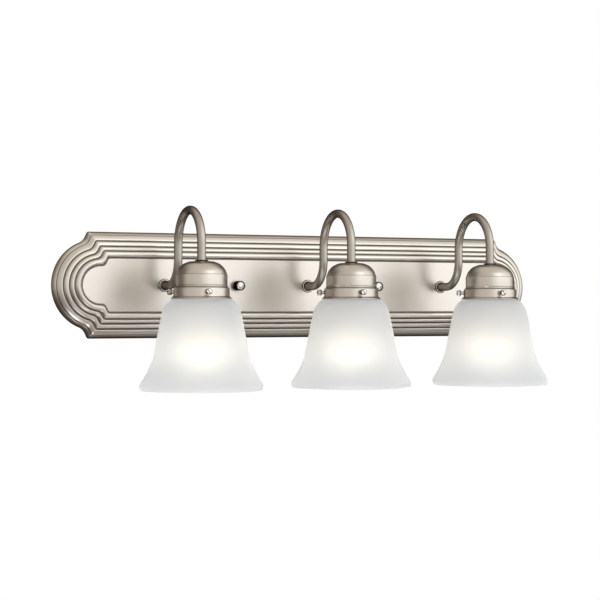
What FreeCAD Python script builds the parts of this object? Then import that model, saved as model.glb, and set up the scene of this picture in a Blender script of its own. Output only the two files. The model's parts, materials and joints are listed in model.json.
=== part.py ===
"""Three-light vanity bar: stamped backplate on a crossbar, three gooseneck arms, bell shades.

Frame: +X to the right along the bar, +Z up, +Y into the wall. The wall is the plane y = 0 and the
origin is the middle of the outlet box on that plane. Millimetres.
"""
import FreeCAD, Part
import math
import os
import re

import Sketcher

App = FreeCAD
doc = App.newDocument("vanity_light_bar")

# ---------------------------------------------------------------- driving dimensions
DIMENSIONS = {
    # layout
    "light_spacing": 177.8,
    "knob_offset": 88.9,
    "lamp_reach": 138.7,
    # backplate outline
    "plate_half_length": 304.8,
    "plate_half_height": 60.325,
    "end_radius": 51.5,
    "corner_half_length": 263.3,
    "corner_drift": 0.63,
    "shoulder_tilt": 25.0,
    "shoulder_fillet": 12.0,
    "shoulder_fillet_loss": 0.2,
    # backplate section, measured inward from the rim and forward from the wall
    "panel_depth": 20.5,
    "moulding_width": 29.8,
    "crown_depth": 23.9,
    "groove_in_1": 10.5,
    "groove_in_2": 16.6,
    "groove_in_3": 21.9,
    "groove_depth_1": 12.2,
    "groove_depth_2": 16.0,
    "groove_depth_3": 19.4,
    "sheet_thickness": 1.0,
    "groove_floor": 0.9,
    # crossbar and its hardware
    "bar_length": 206.0,
    "bar_width": 19.0,
    "bar_thickness": 2.0,
    "box_screw_spacing": 79.4,
    "box_slot_length": 14.3,
    "box_slot_width": 4.8,
    "bar_centre_hole": 5.25,
    "stud_radius": 2.1,
    "stud_reach": 29.0,
    "stud_nut_flats": 8.7,
    "stud_nut_height": 3.0,
    "ground_screw_x": 16.0,
    "ground_head_radius": 3.9,
    "ground_head_height": 2.4,
    "ground_shank_radius": 2.1,
    "plate_stud_hole": 2.6,
    "plate_arm_hole": 4.9,
    # cap knobs
    "knob_radius": 5.7,
    "knob_length": 12.0,
    "knob_edge": 1.2,
    "knob_bore": 2.16,
    "knob_bore_depth": 9.2,
    # gooseneck arm
    "tube_radius": 4.7625,
    "tube_bore": 3.9,
    "tube_tail": 12.0,
    "back_leg_reach": 65.2,
    "root_bend": 29.0,
    "arch_top": 86.0,
    "tube_foot": 19.6,
    "ring_radius": 7.2,
    "ring_thickness": 1.8,
    "arm_washer_radius": 8.0,
    "arm_washer_thickness": 1.2,
    "arm_nut_flats": 14.0,
    "arm_nut_height": 4.0,
    # collar, cup and fitter
    "collar_radius": 7.1,
    "collar_height": 1.3,
    "cup_top": 24.5,
    "cup_radius": 27.8,
    "cup_flat": 9.0,
    "cup_wall": 0.8,
    "cup_foot": -3.4,
    "cup_nut_flats": 14.0,
    "cup_nut_height": 3.8,
    "crease_level": 10.0,
    "band_radius": 30.1,
    "band_wall": 0.8,
    "band_top": -3.4,
    "band_flange": 1.0,
    "band_flange_bore": 18.4,
    "band_flare_start": -12.8,
    "band_foot": -15.7,
    "flare_radius": 32.4,
    # thumb screws
    "screw_level": -8.4,
    "screw_tip": 28.65,
    "screw_shank": 2.0,
    "screw_hole": 2.05,
    "screw_head_start": 33.4,
    "screw_head_end": 38.5,
    "screw_head_radius": 3.1,
    "screw_slot": 0.9,
    "screw_slot_depth": 1.3,
    "screw_turn_1": -8.0,
    "screw_turn_2": -4.0,
    "screw_turn_3": -5.5,
    # lampholder
    "porcelain_radius": 17.4,
    "porcelain_top": 19.5,
    "porcelain_foot": -12.0,
    "porcelain_shelf": 14.6,
    "porcelain_wire_hole": 3.0,
    "shell_outer": 13.8,
    "shell_inner": 13.35,
    "shell_top": 12.0,
    "shell_foot": -11.0,
    "contact_radius": 4.0,
    "contact_top": 14.6,
    "contact_foot": 12.8,
    # lamp
    "lamp_tip": 12.5,
    "lamp_tip_radius": 3.2,
    "insulator_radius": 9.0,
    "insulator_top": 11.2,
    "base_shoulder": 8.6,
    "base_radius": 13.0,
    "base_foot": -13.5,
    "globe_radius": 30.0,
    "globe_level": -65.5,
    "lamp_neck": 12.6,
    "lamp_wall": 0.9,
    # shade
    "neck_radius": 28.575,
    "neck_bore": 25.2,
    "neck_top": -5.0,
    "neck_foot": -15.8,
    "shade_wall": 3.3,
    "rim_radius": 66.7,
    "rim_level": -109.9,
    "shade_foot": -114.0,
    "lip_thickness": 5.6,
    # wiring
    "lead_radius": 0.9,
    "lead_gap": 1.3,
    "lead_depth": 8.0,
    "lead_level": 14.0,
    "lead_bend": 4.0,
    "splice_step": 3.3,
    "connector_mouth": 18.0,
    "connector_length": 15.0,
    "connector_wide": 5.0,
    "connector_narrow": 3.4,
    "ground_connector_x": 30.0,
    "ground_depth": 11.0,
}

sheet = doc.addObject("Spreadsheet::Sheet", "Dims")
for row, (alias, value) in enumerate(DIMENSIONS.items(), start=1):
    sheet.set("A%d" % row, alias)
    sheet.set("B%d" % row, "%g" % value)
    sheet.setAlias("B%d" % row, alias)
doc.recompute()

nodes = []


def dim(alias):
    """The value of one cell of the sheet."""
    return float(sheet.get(alias))


def bound(text):
    """An expression in which every alias points at the sheet."""
    return re.sub(r"[a-z][a-z_0-9]*", lambda word: "Dims." + word.group(0), text)


def bind(item, **sizes):
    """Bind an object's properties to expressions over the sheet."""
    for name, text in sizes.items():
        item.setExpression(name, bound(text))


def keep(item, label):
    """List an object as a sub-part, under the name of its node."""
    item.Label = label
    nodes.append(item)
    return item


def place(item, x=None, y=None, z=None, axis=None, angle=0.0):
    """Turn an object about an axis and bind where it stands to the sheet."""
    if axis is not None:
        item.Placement = App.Placement(App.Vector(), App.Rotation(App.Vector(*axis), angle))
    for letter, text in (("x", x), ("y", y), ("z", z)):
        if text is not None:
            item.setExpression("Placement.Base." + letter, bound(text))


# ---------------------------------------------------------------- building blocks
# turning an object 90 degrees about this axis points its own Z out from the wall
FORWARD = (1, 0, 0)


def origin_plane(body, role):
    """One of a body's own origin planes."""
    return next(feature for feature in body.Origin.OriginFeatures if feature.Role == role)


def polygon_sketch(body, name, corners):
    """A closed polygon on the body's XZ plane with each corner bound to the sheet."""
    sketch = body.newObject("Sketcher::SketchObject", name)
    sketch.AttachmentSupport = [(origin_plane(body, "XZ_Plane"), "")]
    sketch.MapMode = "FlatFace"
    count = len(corners)
    turns = [2.0 * math.pi * index / count for index in range(count)]
    rough = [App.Vector(30.0 + 20.0 * math.cos(turn), 20.0 * math.sin(turn), 0.0) for turn in turns]
    for index in range(count):
        sketch.addGeometry(Part.LineSegment(rough[index], rough[(index + 1) % count]), False)
    for index in range(count):
        following = (index + 1) % count
        sketch.addConstraint(Sketcher.Constraint("Coincident", index, 2, following, 1))
    for index, (across, upward) in enumerate(corners):
        if across == "0":
            sketch.addConstraint(Sketcher.Constraint("PointOnObject", index, 1, -2))
        else:
            wide = Sketcher.Constraint("DistanceX", -1, 1, index, 1, rough[index].x)
            sketch.setExpression("Constraints[%d]" % sketch.addConstraint(wide), bound(across))
        tall = Sketcher.Constraint("DistanceY", -1, 1, index, 1, rough[index].y)
        sketch.setExpression("Constraints[%d]" % sketch.addConstraint(tall), bound(upward))
    return sketch


def turned(label, corners):
    """A turned piece: a polygon in (radius, height) revolved about the body's Z axis."""
    body = doc.addObject("PartDesign::Body", label)
    sketch = polygon_sketch(body, label + "_profile", corners)
    doc.recompute()
    turn = body.newObject("PartDesign::Revolution", label + "_turn")
    turn.Profile = sketch
    turn.ReferenceAxis = (sketch, ["V_Axis"])
    turn.Angle = 360.0
    sketch.Visibility = False
    return keep(body, label)


def cylinder(name, radius, height, x=None, y=None, z=None, axis=None, angle=0.0):
    """A cylinder whose sizes and place are bound to the sheet."""
    item = doc.addObject("Part::Cylinder", name)
    bind(item, Radius=radius, Height=height)
    place(item, x, y, z, axis, angle)
    return item


def box(name, length, width, height, x, y, z):
    """A box whose sizes and place are bound to the sheet."""
    item = doc.addObject("Part::Box", name)
    bind(item, Length=length, Width=width, Height=height)
    place(item, x, y, z)
    return item


def cut(name, base, tool):
    """One object less another."""
    item = doc.addObject("Part::Cut", name)
    item.Base = base
    item.Tool = tool
    return item


def fused(name, items):
    """Several objects as one, or a group where they don't touch."""
    item = doc.addObject("Part::MultiFuse", name)
    item.Shapes = items
    return item


def hexagon(name, flats, height, x=None, y=None, z=None, axis=None, angle=0.0):
    """A hexagonal prism, measured across its flats."""
    item = doc.addObject("Part::Prism", name)
    item.Polygon = 6
    bind(item, Circumradius="(%s) / 1.7320508" % flats, Height=height)
    place(item, x, y, z, axis, angle)
    return item


def feature(label, shape):
    """A shape made by Part's own functions, kept as a sub-part."""
    item = doc.addObject("Part::Feature", label)
    item.Shape = shape
    return keep(item, label)


def revolved(outline):
    """A solid of revolution about Z from a closed wire in the XZ plane."""
    face = Part.Face(outline)
    solid = face.revolve(App.Vector(), App.Vector(0, 0, 1), 360)
    return solid if solid.Volume > 0 else solid.reversed()


def spline(points):
    """A smooth edge through points given as (radius, height)."""
    curve = Part.BSplineCurve()
    curve.interpolate([App.Vector(across, 0, upward) for across, upward in points])
    return curve.toShape()


def straight(*points):
    """Straight edges through points given as (radius, height)."""
    stations = [App.Vector(across, 0, upward) for across, upward in points]
    return [Part.LineSegment(first, second).toShape() for first, second in zip(stations, stations[1:])]


def rod(edges, radius, bore=0.0):
    """A round bar or tube along a path of straight and curved edges."""
    path = Part.Wire(edges)
    start = path.OrderedVertexes[0].Point
    first = path.OrderedEdges[0]
    heading = first.tangentAt(first.FirstParameter)
    ring = Part.Wire([Part.Circle(start, heading, radius).toShape()])
    solid = path.makePipeShell([ring], True, True)
    if bore:
        inner = Part.Wire([Part.Circle(start, heading, bore).toShape()])
        solid = solid.cut(path.makePipeShell([inner], True, True))
    return solid


def bent_path(points, bends):
    """Edges through corner points, each inner corner rounded by a tangent arc of its own radius."""
    edges = []
    here = points[0]
    for before, corner, after, bend in zip(points, points[1:], points[2:], bends):
        inward = (before - corner).normalize()
        outward = (after - corner).normalize()
        half = inward.getAngle(outward) / 2.0
        setback = bend / math.tan(half)
        arc_start = corner + inward * setback
        arc_end = corner + outward * setback
        bisector = (inward + outward).normalize()
        middle = corner + bisector * (bend / math.sin(half) - bend)
        if (arc_start - here).Length > 1e-6:
            edges.append(Part.LineSegment(here, arc_start).toShape())
        edges.append(Part.Arc(arc_start, middle, arc_end).toShape())
        here = arc_end
    if (points[-1] - here).Length > 1e-6:
        edges.append(Part.LineSegment(here, points[-1]).toShape())
    return edges


# ---------------------------------------------------------------- backplate
def plate_outline(inset, depth):
    """The plate's outline, moved inward by an inset, at a depth in front of the wall.

    Each end is a round of end_radius that meets a tilted shoulder through a hollow fillet, and the
    shoulder rises to the corner of the long straight edge.
    """
    tilt = math.radians(dim("shoulder_tilt"))
    hollow = dim("shoulder_fillet") - dim("shoulder_fillet_loss") * inset
    round_radius = dim("end_radius") - inset
    round_centre = App.Vector(dim("plate_half_length") - dim("end_radius"), 0, 0)
    corner_x = dim("corner_half_length") - dim("corner_drift") * inset
    corner = App.Vector(corner_x, 0, dim("plate_half_height") - inset)
    down = App.Vector(math.sin(tilt), 0, -math.cos(tilt))
    outward = App.Vector(math.cos(tilt), 0, math.sin(tilt))
    offset = corner + outward * hollow - round_centre
    slope = offset.dot(down)
    run = -slope - math.sqrt(slope ** 2 - offset.dot(offset) + (round_radius + hollow) ** 2)
    shoulder_end = corner + down * run
    hollow_centre = shoulder_end + outward * hollow
    spoke = (hollow_centre - round_centre).normalize()
    round_start = round_centre + spoke * round_radius
    hollow_middle = hollow_centre - (outward + spoke).normalize() * hollow
    tip = round_centre + App.Vector(round_radius, 0, 0)
    round_middle = round_centre + (spoke + App.Vector(1, 0, 0)).normalize() * round_radius
    quarter = [corner, shoulder_end, hollow_middle, round_start, round_middle, tip]

    def mirrored(signs):
        """The quarter outline's points moved to one corner of the plate."""
        return [App.Vector(point.x * signs[0], -depth, point.z * signs[1]) for point in quarter]

    def quarter_edges(points, backward):
        """Shoulder, hollow and round of one corner, from the corner outward or backward."""
        edge_points = [(points[0], points[1]), (points[1], points[2], points[3]),
                       (points[3], points[4], points[5])]
        if backward:
            edge_points = [tuple(reversed(ends)) for ends in reversed(edge_points)]
        return [Part.LineSegment(*ends).toShape() if len(ends) == 2 else Part.Arc(*ends).toShape()
                for ends in edge_points]

    upper_right = mirrored((1, 1))
    lower_right = mirrored((1, -1))
    lower_left = mirrored((-1, -1))
    upper_left = mirrored((-1, 1))
    edges = quarter_edges(upper_right, False) + quarter_edges(lower_right, True)
    edges.append(Part.LineSegment(lower_right[0], lower_left[0]).toShape())
    edges += quarter_edges(lower_left, False) + quarter_edges(upper_left, True)
    edges.append(Part.LineSegment(upper_left[0], upper_right[0]).toShape())
    return Part.Wire(edges)


# the curved side of the stamping from the rim to the first groove, as (inset, depth)
COVE = [(0.0, 0.0), (0.5, 2.4), (1.4, 4.8), (3.4, 7.9), (4.4, 9.9), (9.0, 12.7)]
COVE_INSIDE = [(0.0, 0.0), (0.6, 2.6), (2.5, 5.4), (5.0, 8.4)]
# one ridge and the groove before it, as steps from the groove
RIDGE = [(-0.7, 0.8), (0.0, 0.0), (0.8, 2.3), (2.8, 4.1)]
RIDGE_INSIDE = [(-1.2, -0.1), (1.3, 0.0), (2.9, 3.5)]


def front_section():
    """The stamped face as (inset, depth): side wall, cove, three ridges, inner wall to the panel."""
    section = list(COVE)
    for number in (1, 2, 3):
        inset = dim("groove_in_%d" % number)
        depth = dim("groove_depth_%d" % number)
        section += [(inset + across, depth + rise) for across, rise in RIDGE]
    width = dim("moulding_width")
    crown = dim("crown_depth")
    section += [(width - 3.4, crown), (width - 1.6, crown - 1.1), (width, dim("panel_depth"))]
    return section


def back_section():
    """The hollow side of the stamping, at least groove_floor behind the face everywhere."""
    wall = dim("sheet_thickness")
    section = [(wall + across, rise) for across, rise in COVE_INSIDE]
    for number in (1, 2, 3):
        inset = dim("groove_in_%d" % number)
        floor = dim("groove_depth_%d" % number) - dim("groove_floor")
        section += [(inset + across, floor + rise) for across, rise in RIDGE_INSIDE]
    width = dim("moulding_width")
    crown = dim("crown_depth")
    section += [(width - 3.6, crown - 1.4), (width - 2.4, crown - 2.0),
                (width - 0.9, dim("panel_depth") - wall)]
    return section


def moulded(section):
    """A solid whose sides follow a section round the plate's outline."""
    return Part.makeLoft([plate_outline(inset, depth) for inset, depth in section], True, True)


def backplate():
    """The stamped steel shell with its arm holes and stud holes."""
    hollow = back_section()
    behind_wall = (hollow[0][0], -dim("sheet_thickness"))
    shell = moulded(front_section()).cut(moulded([behind_wall] + hollow))
    forward = App.Vector(0, -1, 0)
    holes = [(dim("plate_arm_hole"), step * dim("light_spacing")) for step in (-1, 0, 1)]
    holes += [(dim("plate_stud_hole"), side * dim("knob_offset")) for side in (-1, 1)]
    for radius, across in holes:
        bore = Part.makeCylinder(radius, 2 * dim("panel_depth"), App.Vector(across, 0, 0), forward)
        shell = shell.cut(bore)
    feature("backplate", shell)


# ---------------------------------------------------------------- crossbar and hardware
def mounting_bar():
    """The crossbar: a flat strap with two box slots, two stud holes, wire and ground holes."""
    strap = box("bar_strap", "bar_length", "bar_thickness", "bar_width",
                "-bar_length / 2", "-bar_thickness", "-bar_width / 2")
    tools = []
    for side, sign in (("left", "-1"), ("right", "1")):
        slot_run = "(box_slot_length - box_slot_width) / 2"
        middle = "%s * box_screw_spacing / 2" % sign
        for end, shift in (("inner", "-"), ("outer", "+")):
            tools.append(cylinder("bar_slot_%s_%s" % (side, end), "box_slot_width / 2",
                                  "bar_thickness + 2", x="%s %s %s" % (middle, shift, slot_run),
                                  y="1", axis=FORWARD, angle=90))
        tools.append(box("bar_slot_%s" % side, "2 * (%s)" % slot_run, "bar_thickness + 2",
                         "box_slot_width", "%s - %s" % (middle, slot_run),
                         "-bar_thickness - 1", "-box_slot_width / 2"))
        tools.append(cylinder("bar_stud_hole_%s" % side, "stud_radius", "bar_thickness + 2",
                              x="%s * knob_offset" % sign, y="1", axis=FORWARD, angle=90))
    tools.append(cylinder("bar_wire_hole", "bar_centre_hole", "bar_thickness + 2", y="1",
                          axis=FORWARD, angle=90))
    tools.append(cylinder("bar_ground_hole", "ground_shank_radius", "bar_thickness + 2",
                          x="ground_screw_x", y="1", axis=FORWARD, angle=90))
    keep(cut("mounting_bar", strap, fused("bar_openings", tools)), "mounting_bar")


def bar_hardware():
    """Two studs, the nuts that lock them to the crossbar, and the ground screw."""
    studs = []
    nuts = []
    for side, sign in (("left", "-1"), ("right", "1")):
        across = "%s * knob_offset" % sign
        studs.append(cylinder("stud_" + side, "stud_radius", "stud_reach", x=across, axis=FORWARD, angle=90))
        body = hexagon("stud_nut_body_" + side, "stud_nut_flats", "stud_nut_height", x=across,
                       y="-bar_thickness", axis=FORWARD, angle=90)
        bore = cylinder("stud_nut_bore_" + side, "stud_radius", "stud_nut_height", x=across,
                        y="-bar_thickness", axis=FORWARD, angle=90)
        nuts.append(cut("stud_nut_" + side, body, bore))
    keep(fused("bar_studs", studs), "bar_studs")
    keep(fused("stud_nuts", nuts), "stud_nuts")
    screw = turned("ground_screw", [
        ("0", "0"), ("ground_shank_radius", "0"), ("ground_shank_radius", "bar_thickness"),
        ("ground_head_radius", "bar_thickness"),
        ("ground_head_radius", "bar_thickness + ground_head_height - 0.6"),
        ("ground_head_radius - 0.6", "bar_thickness + ground_head_height"),
        ("0", "bar_thickness + ground_head_height")])
    place(screw, x="ground_screw_x", axis=FORWARD, angle=90)


def cap_knobs():
    """The two cap knobs that hold the backplate on the studs."""
    for side, sign in (("left", "-1"), ("right", "1")):
        knob = turned("cap_knob_" + side, [
            ("knob_bore", "0"), ("knob_radius", "0"), ("knob_radius", "knob_length - knob_edge"),
            ("knob_radius - knob_edge", "knob_length"), ("0", "knob_length"),
            ("0", "knob_bore_depth"), ("knob_bore", "knob_bore_depth")])
        place(knob, x="%s * knob_offset" % sign, y="-panel_depth", axis=FORWARD, angle=90)


# ---------------------------------------------------------------- arms
def arm_corners(shift=0.0):
    """The corner points of a gooseneck's centre line, moved sideways by a shift."""
    arch = (dim("lamp_reach") - dim("back_leg_reach")) / 2.0
    top = dim("arch_top") - dim("tube_radius")
    corners = [(-dim("tube_tail"), 0.0), (-dim("back_leg_reach"), 0.0), (-dim("back_leg_reach"), top),
               (-dim("lamp_reach"), top), (-dim("lamp_reach"), dim("tube_foot"))]
    bends = [dim("root_bend"), arch, arch]
    return [App.Vector(shift, depth, level) for depth, level in corners], bends


def arm(number, along):
    """The gooseneck tube, its seating ring on the panel and the collar over the cup."""
    tube = feature("arm_%d" % number, rod(bent_path(*arm_corners()), dim("tube_radius"), dim("tube_bore")))
    place(tube, x=along)
    ring = turned("arm_ring_%d" % number, [
        ("tube_radius", "0"), ("ring_radius", "0"), ("ring_radius", "ring_thickness - 0.8"),
        ("ring_radius - 0.8", "ring_thickness"), ("tube_radius", "ring_thickness")])
    place(ring, x=along, y="-panel_depth", axis=FORWARD, angle=90)
    collar = turned("cup_collar_%d" % number, [
        ("tube_radius", "0"), ("collar_radius", "0"), ("collar_radius", "collar_height - 0.7"),
        ("collar_radius - 0.7", "collar_height"), ("tube_radius", "collar_height")])
    place(collar, x=along, y="-lamp_reach", z="cup_top")


def arm_hardware():
    """Behind the panel a washer and nut on each arm, and under each cup the nut on the arm's foot."""
    washers = []
    nuts = []
    cup_nuts = []
    washer_back = "sheet_thickness - panel_depth + arm_washer_thickness"
    nut_back = washer_back + " + arm_nut_height"
    under_cup = "cup_top - cup_wall - cup_nut_height"
    for number, along in LIGHTS:
        tag = "_%d" % number
        spot = {"x": along, "y": washer_back, "axis": FORWARD, "angle": 90}
        disc = cylinder("arm_washer_disc" + tag, "arm_washer_radius", "arm_washer_thickness", **spot)
        bore = cylinder("arm_washer_bore" + tag, "tube_radius", "arm_washer_thickness", **spot)
        washers.append(cut("arm_washer" + tag, disc, bore))
        spot["y"] = nut_back
        body = hexagon("arm_nut_body" + tag, "arm_nut_flats", "arm_nut_height", **spot)
        bore = cylinder("arm_nut_bore" + tag, "tube_radius", "arm_nut_height", **spot)
        nuts.append(cut("arm_nut" + tag, body, bore))
        spot = {"x": along, "y": "-lamp_reach", "z": under_cup}
        body = hexagon("cup_nut_body" + tag, "cup_nut_flats", "cup_nut_height", **spot)
        bore = cylinder("cup_nut_bore" + tag, "tube_radius", "cup_nut_height", **spot)
        cup_nuts.append(cut("cup_nut" + tag, body, bore))
    keep(fused("arm_lock_washers", washers), "arm_lock_washers")
    keep(fused("arm_nuts", nuts), "arm_nuts")
    keep(fused("cup_nuts", cup_nuts), "cup_nuts")


# ---------------------------------------------------------------- cups and fitters
# the cup's dome outside and inside, as (radius, drop below the cup's top)
DOME = [(13.5, 0.5), (19.3, 2.9), (23.0, 6.0), (25.7, 9.7), (27.3, 13.9)]
DOME_INSIDE = [(26.5, 14.0), (24.9, 10.1), (22.3, 6.6), (18.7, 3.7), (13.1, 1.4)]


def socket_cup(number, along):
    """The spun cup: a flattened dome, a small crease and a straight skirt, open below."""
    radius = dim("cup_radius")
    top = dim("cup_top")
    wall = dim("cup_wall")
    crease = dim("crease_level")
    flat = dim("cup_flat")
    foot = dim("cup_foot")
    dome = [(across, top - drop) for across, drop in DOME]
    hollow = [(across, top - drop) for across, drop in DOME_INSIDE]
    hole = dim("tube_radius")
    outer = straight((hole, top), (flat, top), dome[0]) + [spline(dome)]
    outer += straight(dome[-1], (radius, crease), (radius, foot), (radius - wall, foot),
                      (radius - wall, crease - wall / 2), hollow[0])
    inner = [spline(hollow)]
    inner += straight(hollow[-1], (flat, top - wall), (hole, top - wall), (hole, top))
    cup = feature("socket_cup_%d" % number, revolved(Part.Wire(outer + inner)))
    place(cup, x=along, y="-lamp_reach")


def shade_holder(number, along):
    """The fitter: a flanged band with a flared foot and three tapped holes for the thumb screws."""
    inner = "band_radius - band_wall"
    tag = "_%d" % number
    band = turned("shade_holder_band" + tag, [
        ("band_flange_bore", "band_top - band_flange"), ("band_flange_bore", "band_top"),
        ("band_radius - 0.9", "band_top"), ("band_radius", "band_top - 0.9"),
        ("band_radius", "band_flare_start"), ("flare_radius", "band_foot + 0.8"),
        ("flare_radius", "band_foot"), ("flare_radius - 1", "band_foot"),
        (inner, "band_flare_start - 0.5"), (inner, "band_top - band_flange")])
    nodes.remove(band)
    place(band, x=along, y="-lamp_reach")
    bores = []
    for letter, step in SCREW_STEPS:
        bore = cylinder("screw_hole%s%s" % (tag, letter), "screw_hole", "band_radius + 4")
        turn_screw(bore, number, along, step)
        bores.append(bore)
    keep(cut("shade_holder" + tag, band, fused("screw_holes" + tag, bores)), "shade_holder" + tag)


def turn_screw(item, number, along, step):
    """Lay an object that stands on Z along a thumb screw's line, out from the lamp's axis."""
    angle = math.radians(dim("screw_turn_%d" % number) + step)
    outward = App.Vector(math.sin(angle), -math.cos(angle), 0)
    item.Placement = App.Placement(App.Vector(), App.Rotation(App.Vector(0, 0, 1), outward))
    place(item, x=along, y="-lamp_reach", z="screw_level")


def thumb_screw(number, along, letter, step):
    """A slotted thumb screw whose tip bears on the shade's neck."""
    label = "thumb_screw_%d%s" % (number, letter)
    blank = turned(label + "_blank", [
        ("0", "screw_tip"), ("screw_shank - 0.6", "screw_tip"), ("screw_shank", "screw_tip + 0.6"),
        ("screw_shank", "screw_head_start"), ("screw_head_radius - 0.7", "screw_head_start"),
        ("screw_head_radius", "screw_head_start + 0.7"), ("screw_head_radius", "screw_head_end - 0.7"),
        ("screw_head_radius - 0.7", "screw_head_end"), ("0", "screw_head_end")])
    nodes.remove(blank)
    slot = box(label + "_slot", "screw_slot", "2 * screw_head_radius + 2", "screw_slot_depth + 1",
               "-screw_slot / 2", "-screw_head_radius - 1", "screw_head_end - screw_slot_depth")
    screw = cut(label, blank, slot)
    turn_screw(screw, number, along, step)
    keep(screw, label)


# ---------------------------------------------------------------- lampholder and lamp
# the envelope's side from its foot to the globe, as (swell beyond the neck, drop below the foot)
LAMP_FLANK = [(0.0, 0.0), (1.6, 10.0), (5.2, 20.0), (9.9, 30.0), (14.6, 40.0)]


def lampholder(number, along):
    """The porcelain body, its screw shell and the centre contact."""
    body = turned("socket_body_%d" % number, [
        ("porcelain_wire_hole", "porcelain_top"), ("porcelain_radius - 2", "porcelain_top"),
        ("porcelain_radius", "porcelain_top - 2"), ("porcelain_radius", "porcelain_foot"),
        ("shell_outer", "porcelain_foot"), ("shell_outer", "porcelain_shelf"),
        ("porcelain_wire_hole", "porcelain_shelf")])
    shell = turned("screw_shell_%d" % number, [
        ("shell_inner", "shell_foot"), ("shell_outer", "shell_foot"), ("shell_outer", "shell_top"),
        ("shell_inner", "shell_top")])
    contact = turned("centre_contact_%d" % number, [
        ("0", "contact_foot"), ("contact_radius - 1", "contact_foot"),
        ("contact_radius", "contact_foot + 0.7"), ("contact_radius", "contact_top"), ("0", "contact_top")])
    for item in (body, shell, contact):
        place(item, x=along, y="-lamp_reach")


def lamp(number, along):
    """A standard household lamp: blown envelope on a screw base."""
    base = turned("lamp_base_%d" % number, [
        ("0", "lamp_tip"), ("lamp_tip_radius", "lamp_tip"), ("lamp_tip_radius + 0.4", "insulator_top"),
        ("insulator_radius", "base_shoulder + 0.6"), ("base_radius - 1.2", "base_shoulder"),
        ("base_radius", "base_shoulder - 1.4"), ("base_radius", "base_foot"), ("0", "base_foot")])
    place(base, x=along, y="-lamp_reach")
    globe = dim("globe_radius")
    level = dim("globe_level")
    foot = dim("base_foot")
    neck = dim("lamp_neck")
    wall = dim("lamp_wall")
    flank = [(neck + swell, foot - drop) for swell, drop in LAMP_FLANK]
    flank += [(globe - 0.5, level + 6.0), (globe, level)]
    hollow_flank = [(radius - wall, height) for radius, height in reversed(flank)]
    bowl = [App.Vector(math.sin(turn), 0, -math.cos(turn)) for turn in (math.pi / 2, math.pi / 4, 0.0)]
    centre = App.Vector(0, 0, level)
    outline = [spline(flank), Part.Arc(*[centre + spoke * globe for spoke in bowl]).toShape()]
    outline += straight((0.0, level - globe), (0.0, level - globe + wall))
    outline.append(Part.Arc(*[centre + spoke * (globe - wall) for spoke in reversed(bowl)]).toShape())
    outline.append(spline(hollow_flank))
    outline += straight((neck - wall, foot), (neck, foot))
    glass = feature("lamp_glass_%d" % number, revolved(Part.Wire(outline)))
    place(glass, x=along, y="-lamp_reach")


# ---------------------------------------------------------------- shade
# the bell's outer surface below the neck, as (radius, height) from the shoulder to the rim
BELL = [(31.0, -16.2), (34.4, -17.8), (38.6, -22.4), (41.6, -28.4), (44.0, -38.6), (46.1, -49.4),
        (48.4, -60.6), (50.6, -71.3), (53.4, -82.4), (57.6, -92.7), (61.1, -99.0), (64.2, -104.0)]


def shade(number, along):
    """The bell: straight fitter neck, round shoulder, long waist and a flared rim with a full lip."""
    neck = dim("neck_radius")
    foot = dim("neck_foot")
    wall = dim("shade_wall")
    rim = dim("rim_radius")
    level = dim("rim_level")
    base = dim("shade_foot")
    lip = dim("lip_thickness")
    bore = dim("neck_bore")
    outer = spline([(neck, foot)] + BELL + [(rim, level)])
    lip_end = (rim - lip - 0.5, level + 1.5)
    rounding = spline([(rim, level), (rim - 0.7, level - 2.4), (rim - lip / 2, base),
                       (rim - lip, level - 1.6), lip_end])
    inside = [(radius - wall, height) for radius, height in reversed(BELL[2:-1])]
    inner = spline([lip_end] + inside + [(bore + 4.6, foot - 4.2), (bore, foot - 1.2)])
    neck_edges = straight((bore, foot - 1.2), (bore, dim("neck_top")), (neck, dim("neck_top")), (neck, foot))
    glass = feature("shade_%d" % number, revolved(Part.Wire([outer, rounding, inner] + neck_edges)))
    place(glass, x=along, y="-lamp_reach")


# ---------------------------------------------------------------- wiring
def socket_leads(number, along, offset):
    """The black and white leads of one lampholder, from the socket through the arm to the splices."""
    shapes = []
    side = (number > 2) - (number < 2)
    gap = dim("lead_gap")
    depth = -dim("lead_depth")
    for rise, shift in ((1.0, -gap), (-1.0, gap)):
        corners, bends = arm_corners(shift)
        route = list(reversed(corners[1:])) + [App.Vector(shift, depth, 0)]
        curves = list(reversed(bends)) + [dim("lead_bend")]
        level = rise * dim("lead_level")
        mouth = rise * dim("connector_mouth")
        if side:
            splice = side * dim("splice_step") - offset
            route += [App.Vector(shift, depth, level), App.Vector(splice, depth, level),
                      App.Vector(splice, depth, mouth)]
            curves += [dim("lead_bend"), dim("lead_bend") * 0.9]
        else:
            route.append(App.Vector(shift, depth, mouth))
        shapes.append(rod(bent_path(route, curves), dim("lead_radius")))
    leads = feature("socket_leads_%d" % number, Part.makeCompound(shapes))
    place(leads, x=along)


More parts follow.
